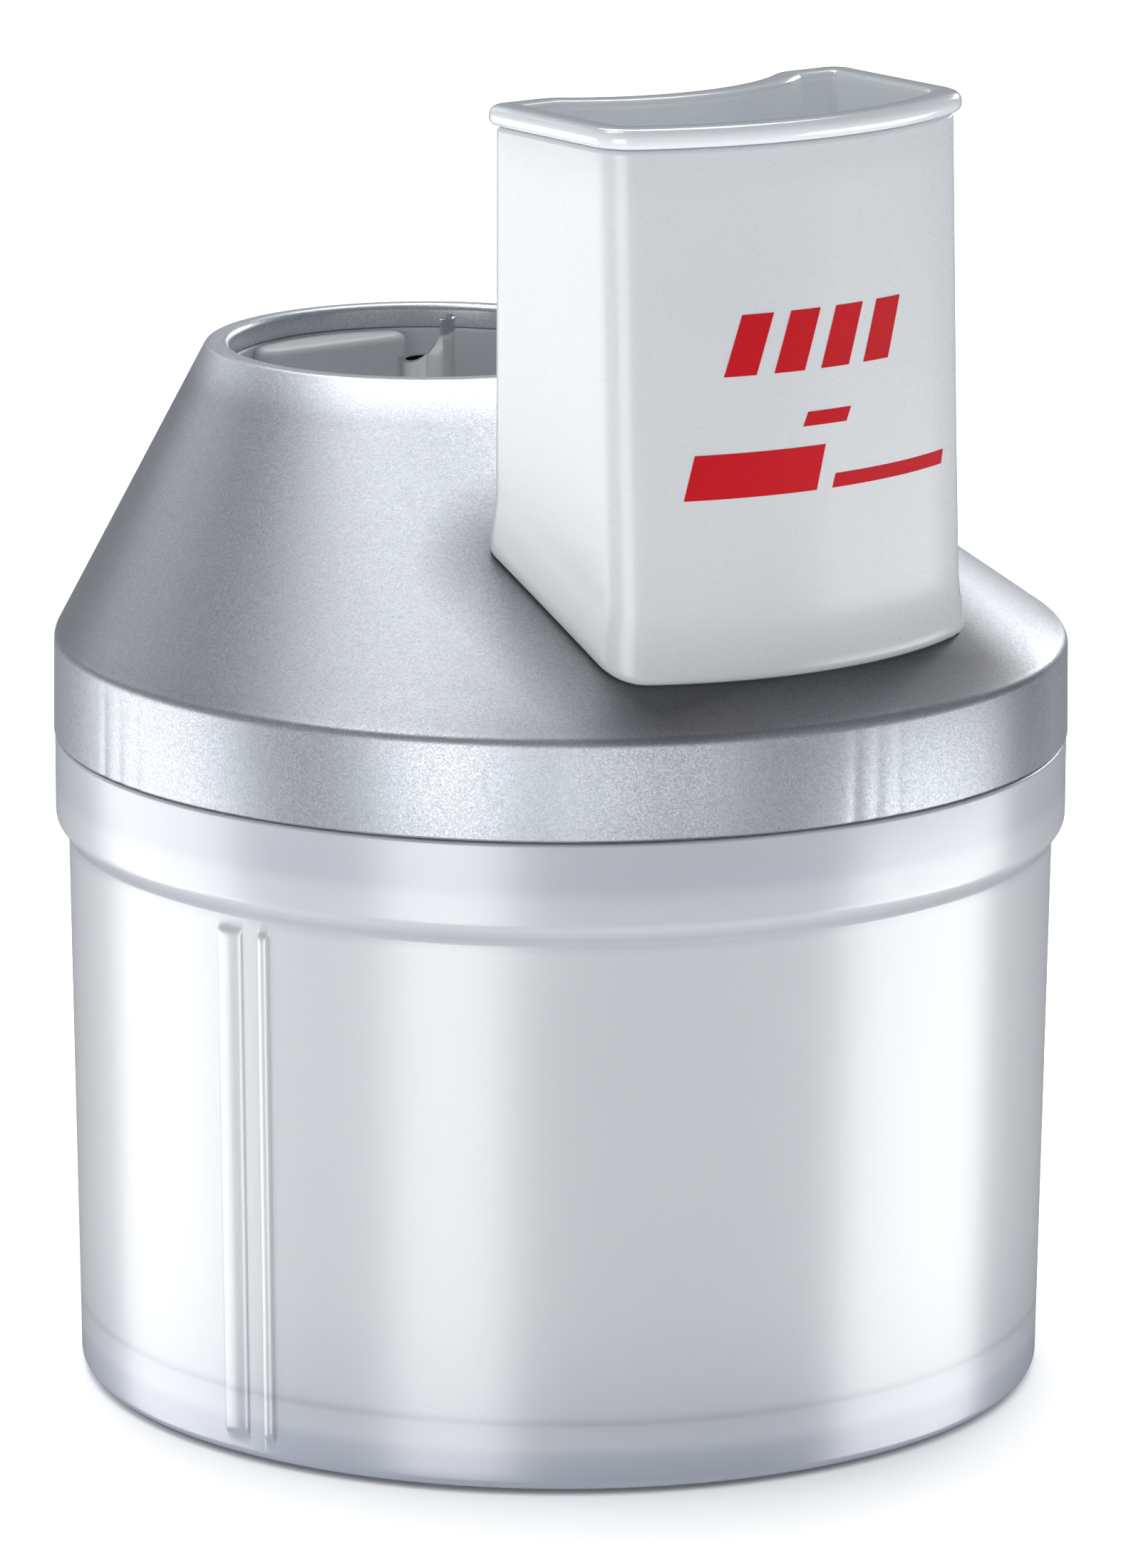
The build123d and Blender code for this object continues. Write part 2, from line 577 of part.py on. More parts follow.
def make_gear_clip():
    """Retaining ring above the gear, open on one side."""
    clip = ring(GEAR_CLIP_RADIUS, GEAR_CLIP_BORE, *GEAR_CLIP_HEIGHTS)
    return clip - Pos(0, GEAR_CLIP_RADIUS, GEAR_CLIP_HEIGHTS[0]) * Box(3.4, 10.2, 3)


def make_hub_ring():
    """O-ring on the hexagon that grips the disc's stem."""
    return Pos(0, 0, HUB_RING_HEIGHT) * Torus(HUB_RING_RADIUS, HUB_RING_THICKNESS)


def make_pinion_shaft():
    """Steel input shaft with the pinion cut on it."""
    face = Rot(0, 0, -90 + 180 / PINION_TEETH) * gear_outline(PINION_TEETH, PROFILE_SHIFT)
    low, high = PINION_HEIGHTS
    shaft = rod(INPUT_RADIUS, *INPUT_HEIGHTS) + extrude(Pos(0, 0, low) * face, high - low)
    shaft -= ring(INPUT_RADIUS + 1, INPUT_CLIP_BORE, *INPUT_CLIP_HEIGHTS)
    return Pos(0, COLLAR_OFFSET, 0) * shaft - coupling_cross_pin(COUPLING_PIN_LENGTH + 3)


def make_input_clip():
    """Retaining ring above the bridge, open on one side."""
    clip = ring(INPUT_CLIP_RADIUS, INPUT_CLIP_BORE, *INPUT_CLIP_HEIGHTS)
    clip -= Pos(0, INPUT_CLIP_RADIUS, INPUT_CLIP_HEIGHTS[0]) * Box(2.4, 6.4, 3)
    return Pos(0, COLLAR_OFFSET, 0) * clip


def make_coupling_pin():
    """Pin that fixes the coupling sleeve on the input shaft."""
    return coupling_cross_pin(COUPLING_PIN_LENGTH)


def make_drive_coupling():
    """Polished sleeve whose rim climbs in a curved ramp to one tall driving finger."""
    sleeve = turned([
        (INPUT_RADIUS, COUPLING_BOTTOM), (COUPLING_RADIUS, COUPLING_BOTTOM, 0.4),
        (COUPLING_RADIUS, FINGER_TOP, 0.3), (COUPLING_BORE, FINGER_TOP, 0.3),
        (COUPLING_BORE, COUPLING_SEAT), (INPUT_RADIUS, COUPLING_SEAT),
    ])
    finger_start = COUPLING_RADIUS - FINGER_WIDTH
    ramp_start = (-COUPLING_RADIUS, COUPLING_RIM)
    ramp_end = (finger_start, COUPLING_RIM + 4.6)
    ramp = ThreePointArc(ramp_start, (0.4, COUPLING_RIM + 1.7), ramp_end)
    reach = COUPLING_RADIUS + 1
    above = FINGER_TOP + 1
    rest = Polyline(
        ramp_end, (finger_start + 0.15, above), (-reach, above), (-reach, COUPLING_RIM), ramp_start,
    )
    front_waste = extrude(Plane.XZ * make_face([ramp, rest]), reach)
    height = above - COUPLING_RIM
    middle = (COUPLING_RIM + above) / 2
    back_waste = Pos(0, reach / 2 + 1.2, middle) * Box(3 * reach, reach, height)
    middle_waste = Pos(-reach + finger_start / 2, 0.6, middle) * Box(2 * reach + finger_start, 1.2, height)
    sleeve = sleeve - front_waste - back_waste - middle_waste
    sleeve = Pos(0, COLLAR_OFFSET, 0) * Rot(0, 0, FINGER_ANGLE) * sleeve
    return sleeve - coupling_cross_pin(COUPLING_PIN_LENGTH + 3)


def make_disc_carrier():
    """Plastic disc on a tall cross-ribbed stem, hexagon socket above and pivot bore below."""
    core = [(0, STEM_BOTTOM), (STEM_CORE, STEM_BOTTOM, 0.6), (STEM_CORE + 1, WEB_BOTTOM), (0, WEB_BOTTOM)]
    stem = turned(core)
    for turn in (0, 45, 90, 135):
        outline = Polyline(
            (-STEM_RIB + 3, STEM_BOTTOM + 4), (STEM_RIB - 3, STEM_BOTTOM + 4), (STEM_RIB, WEB_BOTTOM + 1),
            (-STEM_RIB, WEB_BOTTOM + 1), close=True,
        )
        stem += Rot(0, 0, turn) * extrude(Plane.XZ * make_face(outline), STEM_RIB_HALF, both=True)
    rim_inside = DISC_RADIUS - DISC_RIM
    disc = turned([
        (0, WEB_BOTTOM), (rim_inside, WEB_BOTTOM), (rim_inside, WEB_BOTTOM - DISC_SKIRT),
        (DISC_RADIUS, WEB_BOTTOM - DISC_SKIRT, 0.6), (DISC_RADIUS, DISC_TOP, 0.8),
        (rim_inside, DISC_TOP, 0.8), (rim_inside, WEB_TOP, 0.6), (DISC_HUB_RADIUS, WEB_TOP, 0.8),
        (DISC_HUB_RADIUS, DISC_HUB_TOP, 1.0), (0, DISC_HUB_TOP),
    ])
    carrier = stem + disc
    window = Pos(WINDOW_CENTRE, 0) * RectangleRounded(WINDOW_SIDE, WINDOW_SIDE, 4)
    carrier -= extrude(Pos(0, 0, WEB_BOTTOM - 1) * window, WEB_TOP - WEB_BOTTOM + 2)
    socket = RegularPolygon(HEX_FLATS / 2 + 0.1, 6, major_radius=False)
    carrier -= extrude(Pos(0, 0, HEX_BOTTOM - 1) * socket, 25)
    ring_room = HUB_RING_RADIUS + HUB_RING_THICKNESS + 0.1
    carrier -= rod(ring_room, HUB_RING_HEIGHT - 1, HUB_RING_HEIGHT + 1)
    return carrier - rod(PIVOT_RADIUS + 0.05, STEM_BOTTOM - 1, PIVOT_TOP + 1)


def make_slicing_insert():
    """Steel plate that covers the window and carries the slicing blade over a slot."""
    square = Pos(WINDOW_CENTRE, 0) * RectangleRounded(INSERT_SIDE, INSERT_SIDE, 6)
    outline = square & Circle(DISC_RADIUS - DISC_RIM - 1.1)
    slot = Pos(SLOT_CENTRE, 0.5) * RectangleRounded(SLOT_LENGTH, SLOT_WIDTH, 2)
    plate = extrude(Pos(0, 0, WEB_TOP) * (outline - slot), INSERT_TOP - WEB_TOP)
    for place in rivet_places():
        plate -= rod(RIVET_RADIUS, WEB_TOP - 1, INSERT_TOP + 1, place)
    return plate


def rivet_places():
    """Centres of the blade's rivets."""
    return [(SLOT_CENTRE + step, 12.0) for step in (-15.0, 0.0, 15.0)]


def make_slicing_blade():
    """Ground steel strip whose edge stands over the slot."""
    outline = Polyline(
        (16.0, INSERT_TOP), (16.0, INSERT_TOP + BLADE_THICKNESS), (8.0, INSERT_TOP + BLADE_THICKNESS),
        (-0.5, INSERT_TOP + 2.2), (-0.6, INSERT_TOP + 2.0), (7.6, INSERT_TOP), close=True,
    )
    start = SLOT_CENTRE - BLADE_LENGTH / 2
    blade = Pos(start, 0, 0) * extrude(Plane.YZ * make_face(outline), BLADE_LENGTH)
    for place in rivet_places():
        blade -= rod(RIVET_RADIUS, INSERT_TOP - 1, INSERT_TOP + 2, place)
    return blade


def make_blade_rivets():
    """Three rivets through the blade and its plate."""
    rivets = []
    for place in rivet_places():
        seat = INSERT_TOP + BLADE_THICKNESS
        rivet = rod(RIVET_RADIUS, WEB_TOP + 0.05, seat, place)
        rivet += rod(RIVET_HEAD_RADIUS, seat, seat + RIVET_HEAD_HEIGHT, place)
        rivets.append(rivet.solid())
    return Compound(rivets)


def make_input_lower_bush():
    """Bronze bush in the lid plate, under the pinion."""
    top = INPUT_BOSS_TOP + 1
    body = ring(INPUT_BUSH_RADIUS, INPUT_RADIUS + RUNNING, INPUT_BUSH_SEAT, top, COLLAR_AXIS)
    return body + ring(INPUT_BUSH_FLANGE, INPUT_RADIUS + RUNNING, INPUT_BOSS_TOP, top, COLLAR_AXIS)


def make_input_upper_bush():
    """Bronze bush in the bridge, above the pinion."""
    low = BRIDGE_BOTTOM - 1
    body = ring(INPUT_BUSH_RADIUS, INPUT_RADIUS + RUNNING, low, BRIDGE_TOP + 0.5, COLLAR_AXIS)
    return body + ring(INPUT_BUSH_FLANGE, INPUT_RADIUS + RUNNING, low, BRIDGE_BOTTOM, COLLAR_AXIS)


def make_input_seal():
    """Shaft seal in the socket's hub."""
    return ring(SEAL_SEAT_RADIUS, INPUT_RADIUS + RUNNING, HUB_BOTTOM + 0.2, SEAL_SEAT_TOP, COLLAR_AXIS)


def make_output_lower_bush():
    """Bronze bush in the lid plate, under the large gear."""
    top = OUTPUT_BOSS_TOP + 1
    body = ring(OUTPUT_BUSH_RADIUS, OUTPUT_RADIUS + RUNNING, OUTPUT_SEAL_HEIGHTS[1], top)
    return body + ring(OUTPUT_BUSH_FLANGE, OUTPUT_RADIUS + RUNNING, OUTPUT_BOSS_TOP, top)


def make_output_upper_bush():
    """Bronze bush in the bridge, above the large gear."""
    low = BRIDGE_BOTTOM - 1
    body = ring(UPPER_BUSH_RADIUS, OUTPUT_TOP_RADIUS + RUNNING, low, BRIDGE_TOP + 1.5)
    return body + ring(UPPER_BUSH_FLANGE, OUTPUT_TOP_RADIUS + RUNNING, low, BRIDGE_BOTTOM)


def make_output_seal():
    """Shaft seal in the lid plate, under the lower bush."""
    return ring(OUTPUT_SEAL_RADIUS, OUTPUT_RADIUS + RUNNING, *OUTPUT_SEAL_HEIGHTS)


nodes = {
    "bowl": make_bowl(),
    "non_slip_ring": make_non_slip_ring(),
    "pivot_pin": make_pivot_pin(),
    "lid_cover": make_lid_cover(),
    "feed_tube": make_feed_tube(),
    "lid_plate": make_lid_plate(),
    "plate_gasket": make_plate_gasket(),
    "wand_socket": make_wand_socket(),
    "gear_bridge": make_gear_bridge(),
    "bridge_screws": make_bridge_screws(),
    "cover_screws": make_cover_screws(),
    "input_lower_bush": make_input_lower_bush(),
    "input_upper_bush": make_input_upper_bush(),
    "input_seal": make_input_seal(),
    "output_lower_bush": make_output_lower_bush(),
    "output_upper_bush": make_output_upper_bush(),
    "output_seal": make_output_seal(),
    "pinion_shaft": make_pinion_shaft(),
    "input_clip": make_input_clip(),
    "coupling_pin": make_coupling_pin(),
    "drive_coupling": make_drive_coupling(),
    "output_gear": make_output_gear(),
    "output_shaft": make_output_shaft(),
    "gear_pin": make_gear_pin(),
    "gear_clip": make_gear_clip(),
    "hub_ring": make_hub_ring(),
    "disc_carrier": make_disc_carrier(),
    "slicing_insert": make_slicing_insert(),
    "slicing_blade": make_slicing_blade(),
    "blade_rivets": make_blade_rivets(),
    "pusher": make_pusher(),
}

os.makedirs("parts", exist_ok=True)
for name, shape in nodes.items():
    export_step(shape, f"parts/{name}.step")
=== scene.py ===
"""Looks of the food-processor attachment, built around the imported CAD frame.  Metres, +Z up."""
import json
from math import atan2, cos, exp, pi, radians, sin, sqrt, tan

import bmesh
import bpy
from mathutils import Matrix, Vector


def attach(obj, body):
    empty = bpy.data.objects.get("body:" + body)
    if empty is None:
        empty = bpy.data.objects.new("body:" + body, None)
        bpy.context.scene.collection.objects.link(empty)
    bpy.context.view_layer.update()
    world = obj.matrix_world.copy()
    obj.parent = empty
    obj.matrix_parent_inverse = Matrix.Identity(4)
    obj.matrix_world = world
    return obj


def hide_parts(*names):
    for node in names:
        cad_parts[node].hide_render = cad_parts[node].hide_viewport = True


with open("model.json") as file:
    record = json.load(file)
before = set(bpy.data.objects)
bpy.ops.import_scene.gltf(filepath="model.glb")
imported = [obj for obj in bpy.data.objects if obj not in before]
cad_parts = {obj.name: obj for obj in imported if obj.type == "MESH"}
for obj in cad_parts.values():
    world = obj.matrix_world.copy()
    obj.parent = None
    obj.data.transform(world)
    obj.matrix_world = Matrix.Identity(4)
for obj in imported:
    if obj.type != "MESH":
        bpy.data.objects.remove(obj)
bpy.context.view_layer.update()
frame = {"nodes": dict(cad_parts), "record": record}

MM = 0.001

# Camera at the photograph's viewing angle: degrees, metres, and the lens in millimetres
CAMERA_HEADING = 36.7
CAMERA_DISTANCE = 1.3936
CAMERA_HEIGHT = 0.42649
CAMERA_PITCH = 13.328
CAMERA_ROLL = 0.2128
CAMERA_LENS = 201.41

# Lengths from here on are millimetres and angles are degrees, unless a comment says otherwise

# Bowl: the outer wall leans out from its foot to the rim band
WALL_FOOT = (78.8, 0.8)
WALL_HEAD = (80.2, 89.6)
WALL_LEAST_RADIUS = 78.5
# Its closed outline: radius, height, corner round
BOWL_OUTLINE = [
    (0.01, 7.4), (9.0, 7.4, 0.6), (9.0, 9.4), (75.6, 9.4, 1.5), (75.6, 0.8, 0.5),
    (*WALL_FOOT, 2.8), (*WALL_HEAD, 1.2), (82.3, 92.6, 2.6), (82.3, 106.2, 0.6),
    (79.5, 106.2, 0.4), (79.5, 111.2, 0.5), (77.9, 111.2, 0.5), (77.8, 89.5), (76.4, 12.0, 4.0),
    (9.0, 12.0, 1.5), (8.4, 16.0, 0.6), (4.0, 16.0), (4.0, 9.9), (0.01, 9.9),
]
# Two upright ribs: middle angle, half width, rise out of the wall
RIBS = ((-166.9, 2.6, 0.75), (-162.0, 1.1, 0.75))
RIB_RADIUS = 79.5
RIB_LOW = 4.0
RIB_HIGH = 88.0
RIB_FADE = 1.2
RIB_LEVELS = (4.0, 4.4, 4.8, 5.2, 6, 12, 30, 50, 70, 86, 86.8, 87.2, 87.6, 88.0)
RIB_MARGIN = 3
BOWL_STEP = 0.75
RIB_STEP = 0.1

# Lid cover
SKIRT_RADIUS = 82.5
SKIRT_BOTTOM = 106.5
SKIRT_TOP = 122.35
CONE_RADIUS = 82.3
COLLAR_OFFSET = 37.5
COLLAR_RADIUS = 36.2
COLLAR_BORE = 32.5
COLLAR_TOP = 164.5
SOCKET_TOP = 160.6
SOCKET_SEAT = 34.4
SKIRT_INSIDE = 80.8
# Shallow marks that the bayonet lugs leave in the skirt: angles, depth, width in degrees
SINK_MARKS = (-93.0, -90.0, -87.0, 172.0, 175.5, 179.0)
SINK_DEPTH = 0.14
SINK_WIDTH = 0.8

# Feed tube and pusher
TUBE_BOTTOM = 107.6
TUBE_TOP = 211.5
HALF_WIDTH = 34.4
BACK_WALL = 27.3
FRONT_TOP = 67.8
FRONT_BOTTOM = 71.2
NOTCH_RADIUS = 36.6
NOTCH_CENTRE = 1.3
FRONT_CORNER = 7.0
BACK_CORNER = 2.5
NOTCH_CORNER = 6.0
TUBE_WALL = 2.0
TUBE_PLAIN_FROM = 162.0
OPENING_GAP = 0.25
# Bead at the tube's foot: how far it stands out and how far above the cone
TUBE_BEAD = [
    (0.0, -0.6), (0.2, 0.1), (0.7, 0.25), (0.95, 0.7), (1.0, 1.4), (0.93, 2.3), (0.78, 3.4),
    (0.58, 4.7), (0.36, 6.2), (0.16, 7.8), (0.04, 9.4), (0.0, 11.0),
]
BEAD_FRONT_HEIGHT = 135
PUSHER_INSET = 2.35
CAVITY_INSET = 3.85
FLANGE_INSET = -1.3
PUSHER_BOTTOM = 109.8
PUSHER_FLOOR = 2
PUSHER_FLOOR_INSET = 3
PUSHER_MIDDLE = (0, -48.0)
FLANGE_BOTTOM = 211.8
TOTAL_HEIGHT = 215.0

# Painted shadow on the cone round the tube's foot, in metres: where it starts and how far it
# reaches
SHADE_ASIDE = 0.030
SHADE_AHEAD = 0.066
SHADE_BEHIND = 0.032
SHADE_REACH = 0.030

# Printed bars on the tube: start and end angle, low and high edge, and how far the top is shifted
PRINT_BARS = {
    "print_short_bar": (-94.0, -87.0, 167.2, 169.4, 0.8),
    "print_thick_bar": (-111.0, -92.0, 157.0, 164.0, 1.5),
    "print_thin_bar": (-89.5, -67.5, 157.0, 159.2, 0.6),
}
SLICE_COUNT = 4
SLICE_START = -105.5
SLICE_PITCH = 7.2
SLICE_WIDTH = 4.6
SLICE_SHAPE = (176.0, 185.5, 2.6)
PRINT_LAYERS = (0.02, 0.07)

# ---------------------------------------------------------------- mesh helpers

def link(name, mesh, material, smooth_angle=40):
    """Puts a finished mesh in the scene with smooth shading between shallow faces."""
    piece = bpy.data.objects.new(name, mesh)
    bpy.context.scene.collection.objects.link(piece)
    mesh.materials.clear()
    mesh.materials.append(material)
    for polygon in mesh.polygons:
        polygon.use_smooth = True
    mesh.set_sharp_from_angle(angle=radians(smooth_angle))
    return piece


def mesh_from(name, points, faces):
    """Closed mesh from points in millimetres, with its faces turned outwards."""
    mesh = bpy.data.meshes.new(name)
    mesh.from_pydata([(x * MM, y * MM, z * MM) for x, y, z in points], [], faces)
    work = bmesh.new()
    work.from_mesh(mesh)
    bmesh.ops.recalc_face_normals(work, faces=work.faces)
    work.to_mesh(mesh)
    work.free()
    return mesh


def corner_arc(before, corner, after, radius, steps):
    """Points of a round corner between two straight runs, in 2-D or 3-D."""
    start = Vector(corner)
    inward = Vector(before) - start
    outward = Vector(after) - start
    if radius <= 0:
        return [tuple(start)]
    half = inward.angle(outward) / 2
    reach = min(radius / tan(half), inward.length * 0.49, outward.length * 0.49)
    radius = reach * tan(half)
    inward.normalize()
    outward.normalize()
    centre = start + (inward + outward).normalized() * (radius / sin(half))
    first = start + inward * reach - centre
    last = start + outward * reach - centre
    sweep = first.angle(last)
    points = []
    for step in range(steps + 1):
        share = step / steps
        mixed = first * sin((1 - share) * sweep) + last * sin(share * sweep)
        points.append(tuple(centre + mixed / sin(sweep)))
    return points


def rounded(outline, steps=6):
    """Closed outline of (radius, height, corner round) with the corners turned into arcs."""
    points = []
    for index, item in enumerate(outline):
        before = outline[index - 1][:2]
        after = outline[(index + 1) % len(outline)][:2]
        size = item[2] if len(item) > 2 else 0
        points += corner_arc(before, item[:2], after, size, steps)
    return points


def lattice(rows, closed_rows=True):
    """Points and faces over equal rows; each row is a loop, and the rows may close as well."""
    count = len(rows[0])
    points = [point for row in rows for point in row]
    faces = []
    last = len(rows) if closed_rows else len(rows) - 1
    for row in range(last):
        upper = (row + 1) % len(rows)
        for column in range(count):
            side = (column + 1) % count
            faces.append((
                row * count + column, row * count + side,
                upper * count + side, upper * count + column,
            ))
    return points, faces


# ---------------------------------------------------------------- materials

def new_material(name):
    """Node material with its principled shader."""
    material = bpy.data.materials.new(name)
    material.use_nodes = True
    shader = material.node_tree.nodes["Principled BSDF"]
    return material, material.node_tree, shader


def noise(tree, scale, detail=3.0, roughness=0.5, stretch=(1, 1, 1)):
    """Noise texture in object coordinates; scale is waves per metre."""
    place = tree.nodes.new("ShaderNodeTexCoord")
    mapping = tree.nodes.new("ShaderNodeMapping")
    mapping.inputs["Scale"].default_value = stretch
    texture = tree.nodes.new("ShaderNodeTexNoise")
    texture.inputs["Scale"].default_value = scale
    texture.inputs["Detail"].default_value = detail
    texture.inputs["Roughness"].default_value = roughness
    tree.links.new(place.outputs["Object"], mapping.inputs["Vector"])
    tree.links.new(mapping.outputs["Vector"], texture.inputs["Vector"])
    return texture.outputs["Fac"]


def ramp(tree, source, low, high, start=0.35, end=0.65):
    """Colour or grey ramp over a source."""
    node = tree.nodes.new("ShaderNodeValToRGB")
    node.color_ramp.elements[0].position = start
    node.color_ramp.elements[1].position = end
    node.color_ramp.elements[0].color = (*low, 1)
    node.color_ramp.elements[1].color = (*high, 1)
    tree.links.new(source, node.inputs["Fac"])
    return node.outputs["Color"]


def grey(value):
    """A grey as a colour triple."""
    return (value, value, value)


def add_bump(tree, shader, source, strength, distance):
    """Fine surface relief from a source; distance is metres."""
    bump = tree.nodes.new("ShaderNodeBump")
    bump.inputs["Strength"].default_value = strength
    bump.inputs["Distance"].default_value = distance
    tree.links.new(source, bump.inputs["Height"])
    tree.links.new(bump.outputs["Normal"], shader.inputs["Normal"])


def plastic(name, low, high, rough, grain=900.0, relief=0.06, mottle=14.0, **settings):
    """Moulded plastic: slow colour drift, roughness variation and fine grain."""
    material, tree, shader = new_material(name)
    drift = noise(tree, mottle, 2.0)
    tree.links.new(ramp(tree, drift, low, high), shader.inputs["Base Color"])
    fine = noise(tree, grain, 4.0, 0.6)
    tree.links.new(ramp(tree, fine, grey(rough[0]), grey(rough[1])), shader.inputs["Roughness"])
    add_bump(tree, shader, fine, relief, 0.0002)
    for socket, value in settings.items():
        shader.inputs[socket.replace("_", " ")].default_value = value
    return material


def metal(name, low, high, rough, scale=60.0, stretch=(1, 1, 1), relief=0.03):
    """Metal with fine drawn marks."""
    material, tree, shader = new_material(name)
    marks = noise(tree, scale, 5.0, 0.6, stretch)
    tree.links.new(ramp(tree, marks, low, high), shader.inputs["Base Color"])
    tree.links.new(ramp(tree, marks, grey(rough[0]), grey(rough[1])), shader.inputs["Roughness"])
    add_bump(tree, shader, marks, relief, 0.0001)
    shader.inputs["Metallic"].default_value = 1.0
    return material


def painted_tones_by_height(tree, stops, span=112.0):
    """Painted light and shade by height above the base; stops are millimetres and colour, up to the
    span.
    """
    place = tree.nodes.new("ShaderNodeTexCoord")
    axes = tree.nodes.new("ShaderNodeSeparateXYZ")
    scaled = tree.nodes.new("ShaderNodeMath")
    scaled.operation = "MULTIPLY"
    scaled.inputs[1].default_value = 1 / (span * MM)
    node = tree.nodes.new("ShaderNodeValToRGB")
    tones = node.color_ramp.elements
    tones.remove(tones[1])
    tones[0].position = stops[0][0] / span
    tones[0].color = (*stops[0][1], 1)
    for height, colour in stops[1:]:
        tones.new(height / span).color = (*colour, 1)
    tree.links.new(place.outputs["Object"], axes.inputs["Vector"])
    tree.links.new(axes.outputs["Z"], scaled.inputs[0])
    tree.links.new(scaled.outputs["Value"], node.inputs["Fac"])
    return node.outputs["Color"]


def multiplied(tree, first, second):
    """Product of two colours."""
    node = tree.nodes.new("ShaderNodeMix")
    node.data_type = "RGBA"
    node.blend_type = "MULTIPLY"
    node.inputs["Factor"].default_value = 1.0
    tree.links.new(first, node.inputs[6])
    tree.links.new(second, node.inputs[7])
    return node.outputs[2]


def frosted_bowl():
    """Milky polypropylene with fine grain, and painted shade where foot, floor and disc lie behind
    the wall.
    """
    material, tree, shader = new_material("frosted_bowl")
    # Painted shade: darker bands by height where foot, floor and disc lie behind the wall
    tones = painted_tones_by_height(tree, [
        (0, (0.52, 0.56, 0.67)), (6.0, (0.60, 0.64, 0.75)), (8.0, (0.74, 0.77, 0.84)),
        (11.2, (0.74, 0.77, 0.84)), (11.8, (0.62, 0.65, 0.73)), (13.0, (0.78, 0.805, 0.85)),
        (30.0, (0.84, 0.86, 0.89)), (88.0, (0.84, 0.86, 0.89)), (90.5, (0.62, 0.645, 0.71)),
        (92.5, (0.82, 0.84, 0.88)), (97.0, (0.78, 0.805, 0.86)), (99.0, (0.68, 0.705, 0.78)),
        (106.0, (0.72, 0.745, 0.81)),
    ])
    drift = noise(tree, 9.0, 2.0)
    mottle = ramp(tree, drift, grey(0.96), grey(1.0))
    tree.links.new(multiplied(tree, tones, mottle), shader.inputs["Base Color"])
    grain = noise(tree, 2200.0, 3.0, 0.65)
    tree.links.new(ramp(tree, grain, grey(0.34), grey(0.50)), shader.inputs["Roughness"])
    add_bump(tree, shader, grain, 0.3, 0.0001)
    shader.inputs["Transmission Weight"].default_value = 0.35
    shader.inputs["IOR"].default_value = 1.49
    shader.inputs["Coat Weight"].default_value = 1.0
    shader.inputs["Coat Roughness"].default_value = 0.27
    shader.inputs["Coat IOR"].default_value = 2.1
    return material


def arithmetic(tree, operation, first, second):
    """Math node; either input may be a number or a socket."""
    node = tree.nodes.new("ShaderNodeMath")
    node.operation = operation
    for socket, value in zip(node.inputs, (first, second)):
        if isinstance(value, (int, float)):
            socket.default_value = value
        else:
            tree.links.new(value, socket)
    return node.outputs["Value"]


def painted_tube_foot_shadow(tree):
    """Painted shadow: a darker tone close to the feed tube's foot, fading out over the cone."""
    def calculate(operation, first, second):
        return arithmetic(tree, operation, first, second)

    place = tree.nodes.new("ShaderNodeTexCoord")
    axes = tree.nodes.new("ShaderNodeSeparateXYZ")
    tree.links.new(place.outputs["Object"], axes.inputs["Vector"])
    x, y = axes.outputs["X"], axes.outputs["Y"]
    past_side = calculate("SUBTRACT", calculate("ABSOLUTE", x, 0.0), SHADE_ASIDE)
    aside = calculate("MAXIMUM", past_side, 0.0)
    ahead = calculate("SUBTRACT", calculate("MULTIPLY", y, -1.0), SHADE_AHEAD)
    behind = calculate("ADD", y, SHADE_BEHIND)
    along = calculate("MAXIMUM", calculate("MAXIMUM", ahead, behind), 0.0)
    squares = [calculate("MULTIPLY", part, part) for part in (aside, along)]
    away = calculate("POWER", calculate("ADD", *squares), 0.5)
    share = calculate("MULTIPLY", away, 1 / SHADE_REACH)
    # Painted shadow: dark at the tube's foot, fading to the cone's own colour
    return ramp(tree, share, grey(0.30), grey(1.0), 0.12, 0.62)


def silver_pearl():
    """Silver-filled plastic: satin sheen, fine bright flakes, painted light making the skirt and
    collar rim lighter than the cone.
    """
    material, tree, shader = new_material("silver_cover")
    place = tree.nodes.new("ShaderNodeTexCoord")
    flakes = tree.nodes.new("ShaderNodeTexVoronoi")
    flakes.inputs["Scale"].default_value = 5200.0
    tree.links.new(place.outputs["Object"], flakes.inputs["Vector"])
    flake = tree.nodes.new("ShaderNodeSeparateColor")
    tree.links.new(flakes.outputs["Color"], flake.inputs["Color"])
    colour = ramp(
        tree, flake.outputs["Red"], (0.53, 0.553, 0.60), (0.69, 0.715, 0.765), 0.1, 0.95,
    )
    # Painted light: the upright skirt and the collar rim lighter than the cone, by height
    painted_light_skirt_and_collar = painted_tones_by_height(tree, [
        (0, grey(0.84)), (121.8, grey(0.84)), (123.2, grey(0.62)), (159.0, grey(0.66)),
        (162.0, grey(0.90)), (164.2, grey(1.0)),
    ], 170.0)
    # Painted shadow round the tube's foot, times the painted light by height
    painted_shadow_and_light = multiplied(tree, painted_tube_foot_shadow(tree), painted_light_skirt_and_collar)
    tree.links.new(multiplied(tree, colour, painted_shadow_and_light), shader.inputs["Base Color"])
    rough = ramp(tree, flake.outputs["Green"], grey(0.33), grey(0.46), 0.1, 0.9)
    tree.links.new(rough, shader.inputs["Roughness"])
    add_bump(tree, shader, noise(tree, 2400.0, 3.0, 0.6), 0.12, 0.0001)
    shader.inputs["Metallic"].default_value = 0.8
    return material


